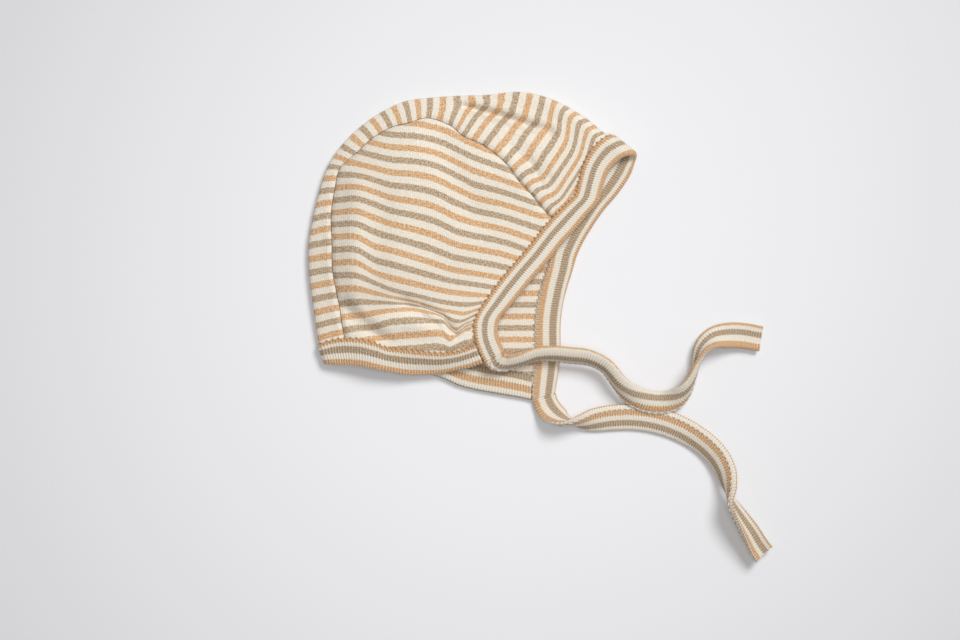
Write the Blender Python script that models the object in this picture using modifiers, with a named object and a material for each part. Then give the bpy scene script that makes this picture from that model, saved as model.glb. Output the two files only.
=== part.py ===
"""A newborn's bonnet in striped cotton jersey, lying on its side with its chin ties spread out.

A centre panel runs from the nape over the head to the brow and is folded lengthwise round the
outline. A side panel is sewn to each of its long edges. A folded rib band closes the neck edge, and
a second one binds the face edge and goes on at both chins as a tie. The right side lies on top.
Units are metres, +Z is up, and the surface that the bonnet lies on is z = 0.
"""

import math

import bmesh
import bpy
import numpy as np

# Overall size of the lying bonnet, without the ties
BONNET_DEPTH = 0.162
BONNET_HEIGHT = 0.154

# Cloth, seams and bands
CLOTH = 0.001
BAND_CLOTH = 0.001
SEAM_GAP = 0.0003
BAND_WIDTH = 0.013
NECK_BAND_WIDTH = 0.013
TIE_THICKNESS = 0.0026
TIE_EDGE_ROUND = 0.0007
TUCK = 0.3

# Height of the upper layer at its bands and over the head, the lengthwise fold, and how far the
# cloth takes to rise, to settle on the floor and to crease
EDGE_LOFT = 0.0105
CROWN_LOFT = 0.018
FOLD_DEPTH = 0.0045
LOFT_REACH = 0.045
FLOOR_REACH = 0.024
CREASE_REACH = 0.012

# Sizes that follow from the ones above
SLOT = CLOTH + 2 * SEAM_GAP
BAND_CORE = (SLOT + BAND_CLOTH) / 2
BAND_HALF = SLOT / 2 + BAND_CLOTH
FOLD_MIDDLE = (EDGE_LOFT + BAND_HALF) / 2

# The plan is drawn in squares: this many over the depth and over the height, and the middle's place
SQUARES_DEEP = 32.4
SQUARES_TALL = 30.8
MIDDLE_ACROSS = 16.155
MIDDLE_UP = 15.68
SQUARE_X = BONNET_DEPTH / SQUARES_DEEP
SQUARE_Y = BONNET_HEIGHT / SQUARES_TALL

# Faceting
FOLD_STEPS = 4
SEAM_STEPS = 3
PANEL_CELLS = 16
BAND_STEP = 0.0065
FLANGE_STEPS = 3
EDGE_STEPS = 4
TIE_CELLS = 3
TIE_STEP = 0.0032
CURVE_POINTS = 240
MERGE = 1e-6

ORANGE = (0.62, 0.34, 0.15, 1.0)
TAUPE = (0.42, 0.35, 0.25, 1.0)
CREAM = (0.80, 0.75, 0.66, 1.0)
COTTON_ROUGHNESS = 0.9

# Face edge from the right chin over the brow to the left chin:
# across, up, lean of the width in degrees, share of the band's width
FACE_ROWS = (
    (17.4, 3.9, 30, 0.93), (16.9, 5.1, 21, 0.92), (16.55, 6.4, 9.5, 0.93), (16.45, 7.7, 2, 0.96),
    (16.75, 8.8, -5, 0.95), (17.7, 10.3, -19, 0.94), (18.9, 12.0, -32, 0.95), (20.3, 13.7, -32, 0.95),
    (21.7, 15.3, -31, 0.95), (23.1, 17.1, -29, 0.96), (24.2, 18.4, -28, 1.0), (25.5, 19.7, -22, 0.95),
    (26.7, 20.7, -13, 0.9), (27.2, 22.0, -10, 0.9), (27.6, 23.5, -16, 0.96), (28.3, 25.0, -27, 1.08),
    (29.1, 26.0, -33, 1.1), (30.24, 26.25, -38, 1.0),
    (29.9, 25.6, -34, 1.0), (29.3, 24.0, -28, 1.0), (28.3, 22.2, -27, 1.0), (27.2, 20.5, -23, 1.0),
    (26.1, 18.8, -21, 1.0), (25.1, 17.1, -18, 1.0), (24.3, 15.3, -13, 1.0), (23.8, 13.5, -7, 1.0),
    (23.2, 11.6, -7, 1.0), (22.8, 9.8, -4, 1.0), (22.6, 7.8, -2, 1.0), (22.6, 5.5, 2, 1.0),
    (22.5, 3.3, 5, 0.98), (22.35, 1.5, 10, 0.96), (22.3, 0.3, 17, 0.94),
)
BROW = 17

# Neck edge from the right chin round the nape to the left chin, in the same columns. The two ends
# aren't listed, because they follow the face edge.
NECK_ROWS = (
    (15.7, 5.5, -78, 0.77), (14.6, 5.2, -87, 0.75), (13.1, 5.1, -87, 0.83), (11.3, 5.25, -85, 0.94),
    (9.6, 5.4, -88, 1.0), (7.9, 5.55, -90, 0.94), (6.7, 6.0, -94, 1.02), (5.3, 6.4, -90, 1.08),
    (3.7, 6.5, -84, 1.08), (2.3, 6.3, -79, 1.0), (1.09, 5.89, -69.4, 0.82),
    (2.4, 6.2, -78, 0.9), (4.1, 6.3, -81, 0.95), (6.3, 6.2, -83, 0.97), (8.6, 5.9, -85, 0.96),
    (11.1, 5.4, -90, 0.92), (13.4, 4.9, -95, 0.93), (15.3, 4.2, -97, 0.97), (17.3, 3.7, -97, 0.97),
    (19.4, 3.35, -94, 0.98), (21.1, 3.0, -94, 0.96),
)
NAPE = 11

# Stretch of the face edge that each end of the neck band is sewn to, as a share of its width
RIGHT_CHIN_SHARE = 0.76
LEFT_CHIN_SHARE = 0.92

# Where the seams between centre and side panels run into the bands, by row
RIGHT_SEAM_AT_NECK = 9.0
LEFT_SEAM_AT_NECK = 12.78
RIGHT_SEAM_AT_FACE = 10.0
LEFT_SEAM_AT_FACE = 23.2

# Centre panel by stripe, from the nape to the brow: stripe, then across and up at the lengthwise
# fold, half way, and at the right seam
CENTRE_ROWS = (
    (-0.5, 1.09, 5.89, 2.35, 6.25, 3.6, 6.5), (1, 0.78, 7.7, 2.0, 8.05, 3.25, 8.3),
    (3, 0.4, 10.3, 1.6, 10.6, 2.85, 10.8), (5, 0.1, 13.0, 1.25, 13.2, 2.4, 13.35),
    (7, 0.05, 15.7, 1.2, 15.95, 2.35, 16.1), (9, 0.45, 18.4, 1.35, 18.65, 2.25, 18.75),
    (11, 1.1, 21.1, 1.85, 21.25, 2.6, 21.3), (13, 1.95, 23.6, 2.55, 23.6, 3.15, 23.5),
    (15, 3.3, 25.7, 3.95, 25.3, 4.7, 24.9), (17, 5.2, 27.6, 5.8, 27.0, 6.3, 26.4),
    (19, 7.3, 29.05, 7.8, 28.3, 8.2, 27.5), (21, 9.6, 30.1, 9.9, 29.1, 10.1, 28.0),
    (23, 12.1, 30.45, 12.05, 29.4, 11.9, 28.45), (25, 14.8, 30.65, 14.5, 29.1, 14.1, 27.7),
    (27, 17.8, 30.75, 16.8, 29.0, 15.4, 26.6), (29, 20.8, 31.05, 19.6, 28.8, 17.5, 25.6),
    (31, 23.4, 30.6, 22.0, 27.7, 19.5, 24.0), (33, 25.8, 29.55, 23.8, 26.0, 20.9, 22.2),
    (35, 27.85, 28.25, 25.6, 24.7, 22.3, 20.7), (37, 29.4, 26.98, 26.7, 23.1, 23.7, 19.0),
    (38.4, 30.24, 26.25, 27.6, 22.5, 24.54, 18.32),
)
NECK_STRIPE = -1
APEX_STRIPE = 20
BROW_STRIPE = 39

# Underneath, the seam leads the right one towards the face: how far in squares, between which stripes
LEFT_SEAM_LEAD = (0.75, -1.6)
LEAD_STRIPES = (21, 37)

# Folds pressed into the upper layer: start, end, half width in squares, share of the crown's loft
CREASES = (
    (3.7, 9.9, 7.5, 6.2, 0.7, -0.14), (9.6, 10.0, 14.6, 6.9, 0.7, -0.14),
    (7.6, 8.1, 13.1, 7.5, 1.2, 0.11), (13.1, 26.3, 16.6, 18.8, 1.6, -0.08),
    (4.7, 21.8, 4.5, 11.8, 1.2, 0.08), (7.6, 20.3, 6.9, 13.8, 1.4, -0.06),
    (15.3, 29.9, 23.9, 27.2, 0.7, -0.16), (20.3, 26.5, 23.8, 22.3, 0.6, -0.11),
)

# Routes of the ties past the chin: across, up, lift of the lower edge as a share of the band's
# width, and roll of the width about the tie in degrees
RIGHT_TIE = (
    (19.02, 3.91, 0.6, 12), (19.6, 3.72, 0.44, 35), (20.3, 3.85, 0.35, 56), (21.5, 4.3, 0.33, 68),
    (22.8, 4.75, 0.32, 68),
    (24.3, 4.9, 0.33, 67), (26.0, 4.8, 0.34, 67), (27.9, 4.45, 0.31, 66), (29.5, 3.55, 0.25, 64),
    (30.8, 2.2, 0.23, 57), (32.0, 1.0, 0.23, 45), (33.6, 0.2, 0.27, 28), (35.3, 0.0, 0.27, 20),
    (36.75, 0.65, 0.2, 42), (37.8, 1.6, 0.16, 62), (38.5, 2.9, 0.19, 71), (38.85, 4.3, 0.23, 68),
    (39.4, 5.5, 0.23, 52), (40.4, 6.4, 0.2, 30), (41.8, 6.8, 0.14, 14), (43.4, 6.8, 0.06, 6),
    (44.9, 6.5, 0.02, 0),
)
LEFT_TIE = (
    (23.85, -0.35, 0.04, -4), (24.4, -1.1, 0.03, -22), (25.15, -1.7, 0.03, -54), (26.1, -2.0, 0.03, -88),
    (27.15, -2.0, 0.03, -120), (28.5, -1.75, 0.03, -150), (30.3, -1.5, 0.03, -172),
    (32.5, -1.45, 0.03, -180), (34.8, -1.8, 0.03, -180), (37.1, -2.6, 0.03, -176),
    (39.1, -3.8, 0.06, -166), (40.6, -5.2, 0.12, -146), (41.5, -6.7, 0.19, -118),
    (41.9, -8.4, 0.27, -96), (42.2, -10.0, 0.31, -86), (42.9, -11.5, 0.31, -76),
    (43.9, -13.2, 0.25, -60), (45.0, -14.8, 0.15, -42),
)
TIE_LEAD = 0.001

UPPER, UNDER = 0, 1


def plan(across, up):
    """A point of the plan in metres, from squares."""
    return np.array([(across - MIDDLE_ACROSS) * SQUARE_X, (up - MIDDLE_UP) * SQUARE_Y])


def unit(vector):
    return vector / np.linalg.norm(vector)


def curve(knots, rows, at):
    """A smooth curve through rows of numbers, read at one place along its knots."""
    span = int(np.clip(np.searchsorted(knots, at, side="right") - 1, 0, len(knots) - 2))
    before = max(span - 1, 0)
    after = min(span + 2, len(knots) - 1)
    start, end = rows[span], rows[span + 1]
    length = knots[span + 1] - knots[span]
    slope_in = (end - rows[before]) / (knots[span + 1] - knots[before]) * length
    slope_out = (rows[after] - start) / (knots[after] - knots[span]) * length
    t = (at - knots[span]) / length
    return (
        start * (2 * t**3 - 3 * t**2 + 1)
        + slope_in * (t**3 - 2 * t**2 + t)
        + end * (3 * t**2 - 2 * t**3)
        + slope_out * (t**3 - t**2)
    )


def run_of(points):
    """Length along a polyline at each of its points."""
    steps = np.linalg.norm(np.diff(points, axis=0), axis=1)
    return np.concatenate([[0.0], np.cumsum(steps)])


def resample(points, shares):
    """Points at given shares of the length of a polyline."""
    run = run_of(points)
    places = np.array(shares) * run[-1]
    return np.stack([np.interp(places, run, column) for column in points.T], axis=1)


def nearest(point, line):
    """Shortest way from a point to a polyline, and the stretch of the line that it meets."""
    starts = line[:-1]
    runs = line[1:] - starts
    along = ((point - starts) * runs).sum(axis=1) / (runs * runs).sum(axis=1)
    feet = starts + runs * np.clip(along, 0.0, 1.0)[:, None]
    ways = np.linalg.norm(point - feet, axis=1)
    found = int(ways.argmin())
    return ways[found], starts[found], runs[found]


def ease(share):
    """Rises smoothly from 0 to 1 and stays level at both ends."""
    share = min(max(share, 0.0), 1.0)
    return share * share * (3 - 2 * share)


def width_of(lean, share, full_width):
    """Vector over a band's width in the plan."""
    turn = math.radians(lean)
    return np.array([math.cos(turn), math.sin(turn)]) * share * full_width


def band_table(rows, full_width):
    """A band's rows in metres: its seam side, then the vector over its width."""
    return [np.concatenate([plan(across, up), width_of(lean, share, full_width)])
            for across, up, lean, share in rows]


def band_row(table, row):
    """Seam side and width of a band at a row, whole or in between."""
    found = curve(np.arange(len(table)), table, row)
    return found[:2], found[2:]


def rows_along(table, first, last):
    """Rows between two rows of a band, close together, and the length of its seam side at each."""
    rows = np.linspace(first, last, CURVE_POINTS)
    return rows, run_of(np.array([band_row(table, row)[0] for row in rows]))


def chin_rows(end, inner, share):
    """Rows of the face edge where the neck band's folded edge and its seam meet it."""
    rows, run = rows_along(FACE, end, inner)
    return end, float(np.interp(share * NECK_BAND_WIDTH, run, rows))


def chin_end(edge_row, seam_row):
    """The neck band's end, held clear of the seam side of the face band."""
    ends = []
    for row in (seam_row, edge_row):
        seam_side, width = band_row(FACE, row)
        ends.append(seam_side - unit(width) * 2 * SEAM_GAP)
    return np.concatenate([ends[0], ends[1] - ends[0]])


def line_across(table, share, first, last):
    """A band's line at a share of its width, between two of its rows."""
    sides = [band_row(table, row) for row in np.linspace(first, last, CURVE_POINTS)]
    return np.array([seam_side + share * width for seam_side, width in sides])


def fold_line():
    """The lengthwise fold from below the nape over the head to beyond the brow."""
    stripes = np.linspace(NECK_STRIPE, BROW_STRIPE, CURVE_POINTS)
    head = [curve(STRIPES, CENTRE, stripe)[:2] for stripe in stripes]
    below = [sum(band_row(NECK, NAPE)) + share * band_row(NECK, NAPE)[1] for share in (1, 0)]
    beyond = [sum(band_row(FACE, BROW)) + share * band_row(FACE, BROW)[1] for share in (0, 1)]
    return np.array(below + head + beyond)


def centre_table():
    """Stripes of the centre panel, each with its fold, then middle and seam of either layer."""
    first_lead, last_lead = LEAD_STRIPES
    stripes = [NECK_STRIPE]
    rows = [end_stripe(NECK_TUCKS)]
    for stripe, *places in CENTRE_ROWS:
        fold, middle, seam = (plan(*places[at:at + 2]) for at in (0, 2, 4))
        led = np.clip((stripe - first_lead) / (last_lead - first_lead), 0, 1)
        left_seam = seam + led * np.array(LEFT_SEAM_LEAD) * (SQUARE_X, SQUARE_Y)
        stripes.append(stripe)
        rows.append(np.concatenate([fold, middle, seam, (fold + left_seam) / 2, left_seam]))
    stripes.append(BROW_STRIPE)
    rows.append(end_stripe(FACE_TUCKS))
    return np.array(stripes, float), np.array(rows)


def end_stripe(tucks):
    """The row of the centre panel that lies inside a band."""
    halves = [resample(tuck, [0.5, 1.0]).ravel() for tuck in tucks]
    return np.concatenate([tucks[UPPER][0], halves[UPPER], halves[UNDER]])


FACE = band_table(FACE_ROWS, BAND_WIDTH)
LEFT_END = len(FACE) - 1
RIGHT_CHIN = chin_rows(0, BROW, RIGHT_CHIN_SHARE)
LEFT_CHIN = chin_rows(LEFT_END, BROW, LEFT_CHIN_SHARE)
NECK = [chin_end(*RIGHT_CHIN), *band_table(NECK_ROWS, NECK_BAND_WIDTH), chin_end(*LEFT_CHIN)]
NECK_END = len(NECK) - 1

# What belongs to the upper layer, then what belongs to the one underneath
NECK_TUCKS = (
    line_across(NECK, TUCK, NAPE, RIGHT_SEAM_AT_NECK), line_across(NECK, TUCK, NAPE, LEFT_SEAM_AT_NECK)
)
FACE_TUCKS = (
    line_across(FACE, TUCK, BROW, RIGHT_SEAM_AT_FACE), line_across(FACE, TUCK, BROW, LEFT_SEAM_AT_FACE)
)
FACE_EDGES = (line_across(FACE, 1.0, 0, BROW), line_across(FACE, 1.0, BROW, LEFT_END))
NECK_EDGES = (line_across(NECK, 1.0, 0, NAPE), line_across(NECK, 1.0, NAPE, NECK_END))
STRIPES, CENTRE = centre_table()
FOLD = fold_line()
BACK_STRIPES = [NECK_STRIPE, *np.linspace(STRIPES[1], APEX_STRIPE, PANEL_CELLS)]
TOP_STRIPES = [*np.linspace(APEX_STRIPE, STRIPES[-2], PANEL_CELLS), BROW_STRIPE]


def fold_depth(point):
    """How far a point lies inside the lengthwise fold."""
    way, start, run = nearest(point, FOLD)
    reach = point - start
    inside = run[0] * reach[1] - run[1] * reach[0] < 0
    return way if inside else 0.0


def crease_height(point):
    """Height that the pressed folds add, as a share of the crown's loft."""
    height = 0.0
    for *ends, half_width, rise in CREASES:
        line = np.array([plan(*ends[:2]), plan(*ends[2:])])
        way = nearest(point, line)[0] / (half_width * SQUARE_X)
        height += rise * math.exp(-way * way)
    return height


def height(point, layer):
    """Height of the middle of the cloth over a point of the plan."""
    from_face = nearest(point, FACE_EDGES[layer])[0] - BAND_WIDTH
    from_neck = nearest(point, NECK_EDGES[layer])[0] - NECK_BAND_WIDTH
    from_fold = fold_depth(point)

    def clear(reach, *ways):
        return math.prod(ease(way / reach) for way in ways)

    if layer == UPPER:
        flat = EDGE_LOFT + (CROWN_LOFT - EDGE_LOFT) * clear(LOFT_REACH, from_face, from_neck, from_fold)
        flat += CROWN_LOFT * crease_height(point) * clear(CREASE_REACH, from_face, from_neck, from_fold)
    else:
        flat = BAND_HALF - (BAND_HALF - CLOTH / 2) * clear(FLOOR_REACH, from_face, from_neck)
    round_off = 1 - min(from_fold / FOLD_DEPTH, 1.0)
    return FOLD_MIDDLE + (flat - FOLD_MIDDLE) * math.sqrt(1 - round_off**2)


def outward(point, layer):
    """Unit vector out of the bonnet, square to the cloth."""
    way, _, run = nearest(point, FOLD)
    nudge = 2e-5
    if way < nudge:
        return unit(np.array([-run[1], run[0], 0.0]))
    slopes = [(height(point + step, layer) - height(point - step, layer)) / (2 * nudge)
              for step in np.eye(2) * nudge]
    up = np.array([-slopes[0], -slopes[1], 1.0])
    return unit(up) if layer == UPPER else -unit(up)


def on_cloth(point, layer):
    return np.append(point, height(point, layer))


def fold_levels():
    """Ways in from the lengthwise fold that turn it in even steps."""
    turns = [math.pi / 2 * step / FOLD_STEPS for step in range(1, FOLD_STEPS + 1)]
    return [FOLD_DEPTH * (1 - math.cos(turn)) for turn in turns]


def band_stations(table, fold_row, last_row):
    """Rows of a band from its first one to its last, closer together round the lengthwise fold."""
    halves = []
    for end in (0, last_row):
        rows = np.linspace(fold_row, end, CURVE_POINTS)
        middles = line_across(table, 0.5, fold_row, end)
        depths = np.array([fold_depth(point) for point in middles])
        turn = int(np.argmax(depths >= FOLD_DEPTH))
        near = [float(np.interp(level, depths[:turn + 1], rows[:turn + 1])) for level in fold_levels()]
        run = run_of(middles)
        start = float(np.interp(abs(near[-1] - fold_row), abs(rows - fold_row), run))
        count = math.ceil((run[-1] - start) / BAND_STEP)
        far = [float(np.interp(place, run, rows)) for place in np.linspace(start, run[-1], count + 1)[1:]]
        halves.append(near + far)
    return halves[0][::-1] + [float(fold_row)] + halves[1]


def band_section(table, fold_row, row):
    """A folded strip's section: out along one flange, round the folded edge, and back."""
    seam_side, width = band_row(table, row)
    layer = UPPER if row <= fold_row else UNDER
    straight = np.linalg.norm(width) - BAND_HALF
    across = unit(width)
    section = []
    for step in range(2 * FLANGE_STEPS + EDGE_STEPS + 1):
        turn = math.pi * min(max((step - FLANGE_STEPS) / EDGE_STEPS, 0.0), 1.0)
        run = straight * min(step, 2 * FLANGE_STEPS + EDGE_STEPS - step, FLANGE_STEPS) / FLANGE_STEPS
        point = seam_side + across * run
        aside = outward(point, layer) * math.cos(turn) + np.append(across, 0.0) * math.sin(turn)
        section.append(on_cloth(point, layer) + BAND_CORE * aside)
    return section


def centre_line(stripe, layer):
    """A stripe of the centre panel from its fold to its seam."""
    ends = {NECK_STRIPE: NECK_TUCKS, BROW_STRIPE: FACE_TUCKS}
    if stripe in ends:
        return ends[stripe][layer]
    row = curve(STRIPES, CENTRE, stripe)
    fold = row[:2]
    middle, seam = (row[2:4], row[4:6]) if layer == UPPER else (row[6:8], row[8:])
    bend = 2 * middle - (fold + seam) / 2
    shares = np.linspace(0, 1, CURVE_POINTS)[:, None]
    return fold * (1 - shares) ** 2 + 2 * bend * shares * (1 - shares) + seam * shares**2


def centre_section(stripe):
    """Points of the centre panel along a stripe, from the left seam over the fold to the right."""
    halves = []
    for layer in (UPPER, UNDER):
        line = centre_line(stripe, layer)
        length = run_of(line)[-1]
        levels = fold_levels()
        rest = np.linspace(levels[-1], length - SEAM_GAP / 2, SEAM_STEPS + 1)[1:]
        points = resample(line, np.array([*levels, *rest]) / length)
        halves.append([on_cloth(point, layer) for point in points])
    fold = np.append(centre_line(stripe, UPPER)[0], FOLD_MIDDLE)
    return halves[UNDER][::-1] + [fold] + halves[UPPER]


def seam_point(stripe, layer):
    """A point of the side panel's seam edge, half the seam's gap past the centre panel's."""
    line = centre_line(stripe, layer)
    return line[-1] + unit(line[-1] - line[-2]) * SEAM_GAP / 2


def side_borders(layer):
    """Neck edge, seam along the top, seam along the back, and face edge of a side panel."""
    shares = np.linspace(0, 1, PANEL_CELLS + 1)
    back = np.array([seam_point(stripe, layer) for stripe in BACK_STRIPES])
    top = np.array([seam_point(stripe, layer) for stripe in TOP_STRIPES])
    neck_rows = ((RIGHT_SEAM_AT_NECK, 0), (LEFT_SEAM_AT_NECK, NECK_END))[layer]
    edge_row, seam_row = (RIGHT_CHIN, LEFT_CHIN)[layer]
    chin_row = seam_row + TUCK * (edge_row - seam_row)
    face_row = (RIGHT_SEAM_AT_FACE, LEFT_SEAM_AT_FACE)[layer]
    face = line_across(FACE, TUCK, chin_row, face_row)
    neck = line_across(NECK, TUCK, *neck_rows)
    neck = np.vstack([back[:1], neck[1:], face[:1]])
    face = np.vstack([face[:-1], top[-1:]])
    return resample(neck, shares), top, back, resample(face, shares)


def side_grid(layer):
    """Points of a side panel, spread evenly between its four borders."""
    neck, top, back, face = side_borders(layer)
    grid = []
    for up in range(PANEL_CELLS + 1):
        v = up / PANEL_CELLS
        for across in range(PANEL_CELLS + 1):
            u = across / PANEL_CELLS
            ruled = neck[across] * (1 - v) + top[across] * v + back[up] * (1 - u) + face[up] * u
            corners = (neck[0] * (1 - u) + neck[-1] * u) * (1 - v) + (top[0] * (1 - u) + top[-1] * u) * v
            grid.append(on_cloth(ruled - corners, layer))
    return grid


def tie_section(centre, across, travel):
    """A tie's section: a flat strip with rounded edges, its first point repeated last."""
    side, face = BAND_WIDTH / 2, TIE_THICKNESS / 2
    flat_side, flat_face = side - TIE_EDGE_ROUND, face - TIE_EDGE_ROUND
    top = [(run, face) for run in np.linspace(-flat_side, flat_side, TIE_CELLS + 1)]
    half = [*top, (side, flat_face), (side, -flat_face)]
    loop = [*half, *[(-run, -rise) for run, rise in half[:-2]], (-side, -flat_face), (-side, flat_face)]
    up = np.cross(travel, across)
    return [centre + across * run + up * rise for run, rise in [*loop, loop[0]]]


def tie_sections(route, chin_row, layer):
    """Sections of a tie at even steps from the chin."""
    seam_side, width = band_row(FACE, chin_row)
    chin = seam_side + width / 2
    onward = np.array([unit(width)[1], -unit(width)[0]])
    start = chin + onward * SEAM_GAP
    level = height(chin, layer)
    rows = [[*start, level, 0.0], [*(start + onward * TIE_LEAD), level, 0.0]]
    for across, up, lift, roll in route:
        turn = math.radians(roll)
        half = BAND_WIDTH / 2 * abs(math.sin(turn)) + TIE_THICKNESS / 2 * abs(math.cos(turn))
        rows.append([*plan(across, up), lift * BAND_WIDTH + half, turn])
    rows = np.array(rows)
    knots = run_of(rows[:, :3])
    count = round(knots[-1] / TIE_STEP)
    places = np.linspace(0, knots[-1], count + 1)
    line = np.array([curve(knots, rows, place) for place in places])
    travel = np.gradient(line[:, :3], axis=0)
    travel[0, :2] = onward * np.linalg.norm(travel[0, :2])
    sections = []
    for (*centre, turn), way in zip(line, travel):
        way = unit(way)
        left = unit(np.array([-way[1], way[0], 0.0]))
        across = left * math.cos(turn) + np.array([0.0, 0.0, math.sin(turn)])
        across = unit(across - way * across.dot(way))
        sections += tie_section(np.array(centre), across, way)
    return sections


def cotton(name, colour):
    """Plain cotton in one colour."""
    material = bpy.data.materials.new(name)
    material.use_nodes = True
    shader = material.node_tree.nodes["Principled BSDF"]
    shader.inputs["Base Color"].default_value = colour
    shader.inputs["Roughness"].default_value = COTTON_ROUGHNESS
    shader.inputs["Metallic"].default_value = 0.0
    return material


def add_grid(name, grid, cells_across, colour):
    """A grid moved to the given points, row by row."""
    cells_along = len(grid) // (cells_across + 1) - 1
    bpy.ops.mesh.primitive_grid_add(x_subdivisions=cells_across, y_subdivisions=cells_along, size=1.0)
    piece = bpy.context.object
    piece.name = name
    piece.data.name = name
    for vertex, point in zip(piece.data.vertices, grid):
        vertex.co = point
    piece.data.materials.append(cotton(name, colour))
    piece.data.shade_smooth()
    for collection in list(piece.users_collection):
        collection.objects.unlink(piece)
    bonnet.objects.link(piece)
    return piece


def add_sheet(name, grid, cells_across, thickness, colour):
    """A sheet of cloth through the given points, with its thickness to both sides."""
    sheet = add_grid(name, grid, cells_across, colour)
    wall = sheet.modifiers.new("wall", "SOLIDIFY")
    wall.thickness = thickness
    wall.offset = 0.0
    wall.use_even_offset = True


def add_band(name, table, fold_row, last_row, colour):
    """A folded strip sewn round an edge of the bonnet."""
    grid = []
    for row in band_stations(table, fold_row, last_row):
        grid += band_section(table, fold_row, row)
    add_sheet(name, grid, 2 * FLANGE_STEPS + EDGE_STEPS, BAND_CLOTH, colour)


def add_tie(name, route, chin_row, layer, colour):
    """A free end of the face band, closed along its side and at both ends."""
    tie = add_grid(name, tie_sections(route, chin_row, layer), 2 * TIE_CELLS + 6, colour)
    shape = bmesh.new()
    shape.from_mesh(tie.data)
    bmesh.ops.remove_doubles(shape, verts=shape.verts, dist=MERGE)
    bmesh.ops.holes_fill(shape, edges=[edge for edge in shape.edges if edge.is_boundary])
    bmesh.ops.recalc_face_normals(shape, faces=shape.faces)
    shape.to_mesh(tie.data)
    shape.free()


def add_centre_panel():
    """The panel over the middle of the head."""
    grid = []
    for stripe in [*BACK_STRIPES, *TOP_STRIPES[1:]]:
        grid += centre_section(stripe)
    add_sheet("crown_panel", grid, 2 * (FOLD_STEPS + SEAM_STEPS), CLOTH, CREAM)


for old in list(bpy.data.objects):
    bpy.data.objects.remove(old)
bonnet = bpy.data.collections.new("baby_bonnet")
bpy.context.scene.collection.children.link(bonnet)

add_centre_panel()
add_sheet("side_panel_right", side_grid(UPPER), PANEL_CELLS, CLOTH, CREAM)
add_sheet("side_panel_left", side_grid(UNDER), PANEL_CELLS, CLOTH, CREAM)
add_band("neck_band", NECK, NAPE, NECK_END, ORANGE)
add_band("face_binding", FACE, BROW, LEFT_END, TAUPE)
add_tie("tie_right", RIGHT_TIE, 0, UPPER, TAUPE)
add_tie("tie_left", LEFT_TIE, LEFT_END, UNDER, TAUPE)
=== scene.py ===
import math

import bpy
import numpy as np
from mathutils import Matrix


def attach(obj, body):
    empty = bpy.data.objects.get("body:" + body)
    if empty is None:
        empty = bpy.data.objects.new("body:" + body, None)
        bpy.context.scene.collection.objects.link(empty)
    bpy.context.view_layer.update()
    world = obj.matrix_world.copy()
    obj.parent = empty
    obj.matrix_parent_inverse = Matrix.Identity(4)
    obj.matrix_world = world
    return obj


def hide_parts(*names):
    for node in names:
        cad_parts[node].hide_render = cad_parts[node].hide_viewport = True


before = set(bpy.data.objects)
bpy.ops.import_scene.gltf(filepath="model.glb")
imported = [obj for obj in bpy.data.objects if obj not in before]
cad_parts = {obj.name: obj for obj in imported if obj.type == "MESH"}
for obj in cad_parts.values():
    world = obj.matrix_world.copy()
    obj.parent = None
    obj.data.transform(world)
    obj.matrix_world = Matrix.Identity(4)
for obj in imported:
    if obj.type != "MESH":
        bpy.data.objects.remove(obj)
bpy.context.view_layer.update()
bpy.ops.object.select_all(action="DESELECT")

# A newborn's bonnet in striped cotton jersey, lying on its side with its chin ties spread out. The
# plan is drawn in squares of 5 mm, and each piece below is laid out from the rows of its own seam.


# Camera
# A stand holds it straight above the table, with a long lens, so that the bonnet is seen flat as a
# pattern cutter would lay it out. The frame is 480 mm wide on the table.
VIEW_WIDTH = 0.48
SENSOR = 36.0
LENS = 110.0
VIEW_MIDDLE = (0.004725, -0.0369)
FOCUS_HEIGHT = 0.006

lens = bpy.data.cameras.new("stand_camera")
lens.sensor_width = SENSOR
lens.lens = LENS
camera = bpy.data.objects.new("stand_camera", lens)
bpy.context.scene.collection.objects.link(camera)
camera.location = (*VIEW_MIDDLE, FOCUS_HEIGHT + VIEW_WIDTH * LENS / SENSOR)
bpy.context.scene.camera = camera


# Ties
# Each is the free end of the face binding: a strip of cotton rib folded lengthwise and sewn shut
# along its open edge with a chain stitch. The stripes run along it and the ribs across.
SQUARE = 0.005
MIDDLE_ACROSS = 16.155
MIDDLE_UP = 15.68
MILLIMETRE = 0.001
BAND_WIDTH = 0.013
TIE_THICKNESS = 0.0025
EDGE_LOFT = 0.0105
BAND_HALF = 0.0018
SEAM_GAP = 0.0003
TIE_RIB = 0.0013
RIB_POINTS = 7
RIB_DEPTH = 0.00022
ORANGE = "orange"
TAUPE = "taupe"
CREAM = "cream"

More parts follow.
